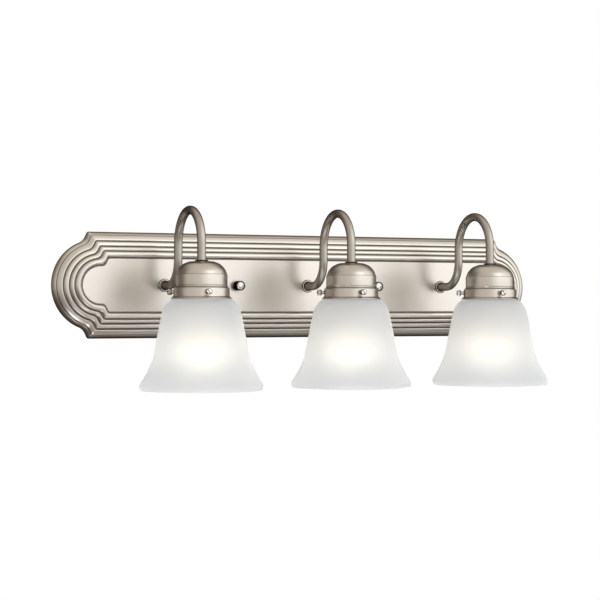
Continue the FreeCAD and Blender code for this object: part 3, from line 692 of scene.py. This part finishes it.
# ---------------------------------------------------------------- cups, fitters, screws and knobs
def cup_profile():
    """The spun cup: outside from the collar to the foot, then back up the inside."""
    dome = smooth_line([(13.5, 24.0), (19.3, 21.6), (23.0, 18.5), (25.7, 14.8), (27.3, 10.7)], 8)
    inside = smooth_line([(26.5, 10.5), (24.9, 14.4), (22.3, 17.9), (18.7, 20.8), (13.1, 23.1)], 6)
    skirt = rounded([(27.3, 10.7), (27.2, 10.3, 0.15), (27.8, 10.0, 0.15), (27.8, -1.0, 0.3),
                     (27.55, -1.5, 0.3), (28.3, -2.0, 0.4), (28.4, -2.8, 0.4), (27.8, -3.4, 0.3),
                     (27.0, -3.4), (27.0, 9.6)], 4)
    top = rounded([(4.8, 24.5), (9.0, 24.45, 2.0), (13.5, 24.0)], 3)
    return top[:-1] + dome + skirt[1:] + inside + [Vector((9.0, 23.7)), Vector((4.8, 23.7))]


def holder_profile():
    """The fitter band: flange, rounded shoulder, band and flared foot, then back up the inside."""
    return rounded([(18.4, -4.4), (18.4, -3.4), (27.5, -3.4, 0.5), (29.2, -3.6, 0.8), (30.1, -4.9, 0.9),
                    (30.1, -12.4, 0.9), (30.5, -13.4, 0.8), (32.8, -14.9, 0.6), (33.1, -15.7, 0.3),
                    (31.8, -15.7, 0.3), (29.5, -13.4, 0.8), (29.3, -4.4, 0.5)], 4)


HEAD_START, HEAD_END = 34.3, 37.7
HEAD_FACE = 38.5
KNURLS = 26
KNURL_DEPTH = 0.11
SLOT_HALF_WIDTH = 0.70 * MM
SLOT_DEPTH = 0.9 * MM
SLOT_REACH = 5 * MM
SLOT_SLANT = math.radians(35.0)


def knurl(turn, radius, height):
    """Ripples round the side of a screw's head."""
    if radius < 3.0 or not HEAD_START < height < HEAD_END:
        return radius
    return radius - KNURL_DEPTH * (1 - math.cos(turn * KNURLS))


def screw_piece(number, letter):
    """A thumb screw: plain shank, waisted neck and a knurled, slotted head."""
    node = "thumb_screw_%d%s" % (number, letter)
    joint = next(j for j in frame["joints"] if j["child"] == node)
    axis = Vector(joint["axis"]).normalized()
    centre = lamp_axis(number) + UP * middle(node).z
    profile = rounded([(0.0, 28.7), (1.4, 28.7), (2.0, 29.3), (2.0, 30.4, 0.2), (1.75, 30.6, 0.1),
                       (1.75, 33.2, 0.3), (2.6, 33.4, 0.3), (3.3, 34.2, 0.4), (3.3, 34.4), (3.3, 36.0),
                       (3.3, 37.4), (3.1, 37.7, 0.2), (2.4, 38.35, 0.15), (1.6, 38.45, 0.3),
                       (0.0, HEAD_FACE)], 3)
    bm = lathe(profile, centre, axis, segments=4 * KNURLS, swell=knurl)
    screw = new_piece("thumb_screw_slotted_%d%s" % (number, letter), bm, node, nickel_polished,
                      [node], 34.0)
    cut_slot(screw, centre + axis * HEAD_FACE * MM, axis)


def cut_slot(piece, face_centre, axis):
    """Cut a straight V slot across the face of a screw's head."""
    slant = Matrix.Rotation(SLOT_SLANT, 3, axis)
    across = slant @ axis.cross(UP).normalized() * SLOT_HALF_WIDTH
    along = slant @ UP
    bm = bmesh.new()
    verts = []
    for end in (-SLOT_REACH, SLOT_REACH):
        for side, rise in ((-2, SLOT_DEPTH), (2, SLOT_DEPTH), (0, -SLOT_DEPTH)):
            verts.append(bm.verts.new(face_centre + across * side + along * end + axis * rise))
    bmesh.ops.convex_hull(bm, input=verts)
    mesh = bpy.data.meshes.new("slot_cutter")
    bm.to_mesh(mesh)
    bm.free()
    cutter = bpy.data.objects.new("slot_cutter", mesh)
    bpy.context.scene.collection.objects.link(cutter)
    modifier = piece.modifiers.new("slot", "BOOLEAN")
    modifier.operation = "DIFFERENCE"
    modifier.solver = "EXACT"
    modifier.object = cutter
    bpy.context.view_layer.update()
    evaluated = piece.evaluated_get(bpy.context.evaluated_depsgraph_get())
    result = bpy.data.meshes.new_from_object(evaluated)
    piece.modifiers.remove(modifier)
    uncut = piece.data
    piece.data = result
    bpy.data.meshes.remove(uncut)
    bpy.data.objects.remove(cutter)
    bpy.data.meshes.remove(mesh)


def knob_pieces(side):
    """A cap knob: drum in near-black painted shade, with a domed, polished face and a blind hole for its
    stud.
    """
    node = "cap_knob_" + side
    seat = middle(node)
    seat.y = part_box(node)[1].y
    drum = rounded([(4.5, 10.6), (5.0, 10.5, 0.3), (5.7, 9.9, 0.6), (5.7, 1.2, 0.6), (5.2, 0.0, 0.4),
                    (2.2, 0.0, 0.3), (2.2, 9.2), (4.5, 9.2)], 4)
    face = smooth_line([(0.0, 12.0), (1.8, 11.9), (3.4, 11.5), (4.6, 10.7)], 5)
    face += [Vector((4.6, 9.6)), Vector((0.0, 9.6))]
    # painted shade: the drum is near-black, the face stays bright
    lathe_piece("cap_knob_drum_" + side, drum, seat, FRONT, [node], nickel_shadowed, body=node, segments=72,
                closed=True)
    lathe_piece("cap_knob_face_" + side, face, seat, FRONT, [node], nickel_polished, body=node, segments=72)


# ---------------------------------------------------------------- lamps and shades
GLOBE = 30.0
BASE_RADIUS = 13.0
BASE_FOOT = -13.5
THREAD_PITCH = 3.63
THREAD_DEPTH = 0.75
THREAD_START, THREAD_END = -11.0, 8.0
THREAD_FADE = 2.0
BARREL_TOP = 7.2
BARREL_STEP = 0.3
BARREL_ROWS = 66


def thread(turn, radius, height):
    """The rolled thread of a lamp's base, faded out at both of its ends."""
    if radius < 12.5 or not THREAD_START < height < THREAD_END:
        return radius
    wave = 0.5 - 0.5 * math.cos(FULL_TURN * (height / THREAD_PITCH - turn / FULL_TURN))
    fade = min(1.0, (height - THREAD_START) / THREAD_FADE, (THREAD_END - height) / THREAD_FADE)
    return radius - THREAD_DEPTH * wave * fade


def lamp_pieces(number):
    """The lamp: blown envelope and a threaded base with its insulator and tip."""
    tag = "_%d" % number
    axis = lamp_axis(number)
    body = "lamp" + tag
    low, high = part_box("lamp_glass" + tag)
    level = low.z / MM + GLOBE
    foot = high.z / MM
    flank = smooth_line([(12.6, foot), (14.2, foot - 10.0), (17.8, foot - 20.0), (22.5, foot - 30.0),
                         (27.2, foot - 40.0), (29.5, level + 6.0), (GLOBE, level)], 6)
    bowl = flat_arc(Vector((0, level)), GLOBE, 0.0, -math.pi / 2, 24)[1:]
    bowl[-1].x = 0.0
    envelope = [Vector((0.0, foot)), Vector((12.0, foot))] + flank + bowl
    lathe_piece("lamp_envelope" + tag, envelope, axis, UP, ["lamp_glass" + tag], lamp_white, "lamp_glass",
                body)
    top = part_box("lamp_base" + tag)[1].z / MM
    base = rounded([(0.0, top), (2.6, top, 0.3), (3.2, top - 0.8, 0.4), (4.0, top - 1.3),
                    (9.0, top - 3.3, 0.4), (11.8, 8.6, 0.5), (BASE_RADIUS, BARREL_TOP)], 3)
    base += [Vector((BASE_RADIUS, BARREL_TOP - BARREL_STEP * step)) for step in range(1, BARREL_ROWS)]
    base += [Vector((BASE_RADIUS, BASE_FOOT)), Vector((0.0, BASE_FOOT))]
    lathe_piece("lamp_screw_base" + tag, base, axis, UP, ["lamp_base" + tag], aluminium, "lamp_base", body,
                segments=72, swell=thread)


def shade_profile():
    """The bell: outside from the neck to the rim, round the lip, and back up the inside."""
    bell = [(28.6, -15.8), (31.0, -16.3), (34.4, -17.9), (38.6, -22.4), (41.6, -28.4), (44.0, -38.6),
            (46.1, -49.4), (48.4, -60.6), (50.6, -71.3), (53.4, -82.4), (57.6, -92.7), (61.1, -99.0),
            (64.2, -104.0), (66.2, -107.8), (66.65, -110.0)]
    rim = [(66.65, -110.0), (66.3, -112.0), (65.2, -113.5), (63.9, -113.95), (62.4, -113.2), (61.2, -111.4),
           (60.6, -109.2)]
    wall = 3.3
    inside = [(60.6, -109.2), (59.6, -105.0)]
    inside += [(radius - wall, height) for radius, height in reversed(bell[4:-3])]
    inside += [(35.2, -22.8), (29.8, -20.0), (26.4, -18.6), (25.3, -17.0)]
    neck = [(25.2, -5.6), (25.8, -5.0), (28.0, -5.0), (28.57, -5.6), (28.57, -10.0)]
    return ([Vector(point) for point in neck] + smooth_line(bell, 6)[:-1] + smooth_line(rim, 5)[:-1]
            + smooth_line(inside, 6))


# ---------------------------------------------------------------- the pieces
new_piece("backplate_stamping", plate_mesh(), "fixture", nickel_plate, ["backplate"], 38.0)
for light in LIGHTS:
    tag = "_%d" % light
    axis_foot = lamp_axis(light)
    arm_pieces(light)
    lathe_piece("spun_cup" + tag, cup_profile(), axis_foot, UP, ["socket_cup" + tag], nickel_turned,
                segments=128, closed=True)
    lathe_piece("fitter_band" + tag, holder_profile(), axis_foot, UP, ["shade_holder" + tag], nickel_turned,
                segments=128, closed=True)
    for letter in SCREWS:
        screw_piece(light, letter)
    lamp_pieces(light)
    lathe_piece("bell_shade" + tag, shade_profile(), axis_foot, UP, ["shade" + tag], etched, "etched_glass",
                "shade" + tag, segments=160, closed=True)
for side in SIDES:
    knob_pieces(side)

# the CAD nodes that are shown as they are
finishes = {"ground_screw": green, "ground_lead": copper, "wire_connectors": connector}
for node in ("mounting_bar", "bar_studs", "stud_nuts", "arm_lock_washers", "arm_nuts", "cup_nuts"):
    finishes[node] = zinc
for light in LIGHTS:
    finishes["socket_body_%d" % light] = porcelain
    finishes["screw_shell_%d" % light] = brass
    finishes["centre_contact_%d" % light] = brass
    finishes["socket_leads_%d" % light] = leads
for node, material in finishes.items():
    slots = frame["nodes"][node].data.materials
    slots.clear()
    slots.append(material)


# ---------------------------------------------------------------- stage, camera, light
def floor():
    """A plain pale floor well below the fixture, white to the camera and unseen by reflections."""
    material, tree, shader = shader_graph("pale_floor")
    feed(shader, {"Base Color": (0.8, 0.8, 0.8), "Roughness": 0.9, "Specular IOR Level": 0.0})
    camera_ray = add(tree, "ShaderNodeLightPath", {})["Is Camera Ray"]
    white = add(tree, "ShaderNodeEmission", {"Strength": 1.0})["Emission"]
    show(tree, mix_shaders(tree, camera_ray, shader.outputs["BSDF"], white))
    bm = bmesh.new()
    bmesh.ops.create_grid(bm, x_segments=1, y_segments=1, size=30.0)
    mesh = bpy.data.meshes.new("floor")
    bm.to_mesh(mesh)
    bm.free()
    mesh.materials.append(material)
    piece = bpy.data.objects.new("floor", mesh)
    piece.location = (0, 0, -1.8)
    piece.visible_glossy = False
    piece.visible_diffuse = False
    bpy.context.scene.collection.objects.link(piece)


def camera():
    """The viewpoint: a long lens, left of the fixture and a little below its middle."""
    data = bpy.data.cameras.new("camera")
    data.sensor_width = 36.0
    data.lens = 101.35
    piece = bpy.data.objects.new("camera", data)
    piece.location = (-0.8159, -1.8345, -0.0267)
    piece.rotation_euler = (math.radians(90.301), 0, math.radians(-23.956))
    bpy.context.scene.collection.objects.link(piece)
    bpy.context.scene.camera = piece


def panel_light(name, place, target, size, power):
    """A large, square, soft light aimed at a point, unseen through the glass."""
    data = bpy.data.lights.new(name, "AREA")
    data.shape = "RECTANGLE"
    data.size = size
    data.size_y = size
    data.energy = power
    piece = bpy.data.objects.new(name, data)
    piece.location = place
    piece.rotation_euler = (Vector(target) - Vector(place)).to_track_quat("-Z", "Y").to_euler()
    piece.visible_transmission = False
    bpy.context.scene.collection.objects.link(piece)


# colours of the room by the turn about the upright axis, in radians: 0 is in front, the right is positive
ROOM_AROUND = [(-3.14, (0.12, 0.10, 0.09)), (-2.0, (0.15, 0.13, 0.11)), (-1.5, (0.52, 0.48, 0.44)),
               (-0.5, (0.60, 0.57, 0.53)), (-0.1, (0.85, 0.83, 0.80)), (0.25, (1.0, 1.0, 0.99)),
               (1.1, (1.0, 1.0, 0.99)), (1.55, (0.85, 0.81, 0.76)), (1.95, (0.20, 0.17, 0.15)),
               (3.14, (0.12, 0.10, 0.09))]
# what they are multiplied by, from straight down at -1 to straight up at 1
ROOM_UPWARD = [(-1.0, (0.42, 0.39, 0.37)), (-0.50, (0.15, 0.13, 0.12)), (-0.20, (0.50, 0.47, 0.45)),
               (-0.05, (1.0, 1.0, 1.0)), (0.30, (0.98, 0.97, 0.96)), (0.55, (0.86, 0.84, 0.82)),
               (0.80, (0.84, 0.81, 0.78)), (1.0, (0.82, 0.78, 0.74))]
ROOM_CEILING = (0.66, 0.62, 0.57)
CEILING_START = 0.55
ROOM_STRENGTH = 1.40
# light for the glass: its level, and how much that rises towards +x, +y and +z
EVEN_LIGHT = 0.87
EVEN_LEAN = (0.16, 0.0, -0.04)
EVEN_COLOUR = (0.94, 0.965, 1.0)
WHITE = (1.0, 1.0, 1.0)


def ramp(tree, value, low, high, stops):
    """A colour ramp over a value between low and high; stops are (value, colour)."""
    node = tree.nodes.new("ShaderNodeValToRGB")
    feed(node, {"Fac": remap(tree, value, low, high)})
    bands = node.color_ramp
    bands.interpolation = "EASE"
    while len(bands.elements) > 1:
        bands.elements.remove(bands.elements[-1])
    for number, (position, colour) in enumerate(stops):
        share = (position - low) / (high - low)
        element = bands.elements[0] if number == 0 else bands.elements.new(share)
        element.position = share
        element.color = (*colour, 1)
    return node.outputs["Color"]


def background(tree, colour, strength):
    """Light from all round."""
    return add(tree, "ShaderNodeBackground", {"Color": colour, "Strength": strength})["Background"]


def surroundings():
    """White for the camera, even light for the glass, and a studio of soft panels for reflections."""
    world = bpy.data.worlds.new("studio")
    bpy.context.scene.world = world
    world.use_nodes = True
    world.cycles.sampling_method = "NONE"
    tree = world.node_tree
    tree.nodes.clear()
    place = coordinates(tree, "Generated")
    direction = axes(tree, place)
    turn = calculate(tree, "ARCTAN2", direction["X"], calculate(tree, "MULTIPLY", direction["Y"], -1.0))
    around = ramp(tree, turn, -math.pi, math.pi, ROOM_AROUND)
    overhead = remap(tree, direction["Z"], CEILING_START, 1.0, interpolation="SMOOTHSTEP")
    around = blend(tree, overhead, around, ROOM_CEILING)
    upward = ramp(tree, direction["Z"], -1.0, 1.0, ROOM_UPWARD)
    room = background(tree, blend(tree, 1.0, around, upward, "MULTIPLY"), ROOM_STRENGTH)
    lean = add(tree, "ShaderNodeVectorMath", {0: place, 1: EVEN_LEAN}, operation="DOT_PRODUCT")["Value"]
    even = background(tree, EVEN_COLOUR, calculate(tree, "ADD", lean, EVEN_LIGHT))
    rays = add(tree, "ShaderNodeLightPath", {})
    soft_ray = calculate(tree, "MAXIMUM", rays["Is Diffuse Ray"], rays["Is Transmission Ray"])
    lit = mix_shaders(tree, soft_ray, room, even)
    seen = mix_shaders(tree, rays["Is Camera Ray"], lit, background(tree, WHITE, 1.0))
    add(tree, "ShaderNodeOutputWorld", {"Surface": seen})


floor()
camera()
surroundings()
panel_light("key_softbox", (0.9, -2.2, 1.3), (0, 0, 0), 1.6, 4.0)
panel_light("low_kicker", (-0.70, -0.87, -1.10), (-0.26, 0, -0.04), 0.40, 2.6)
bpy.context.scene.view_settings.view_transform = "Standard"
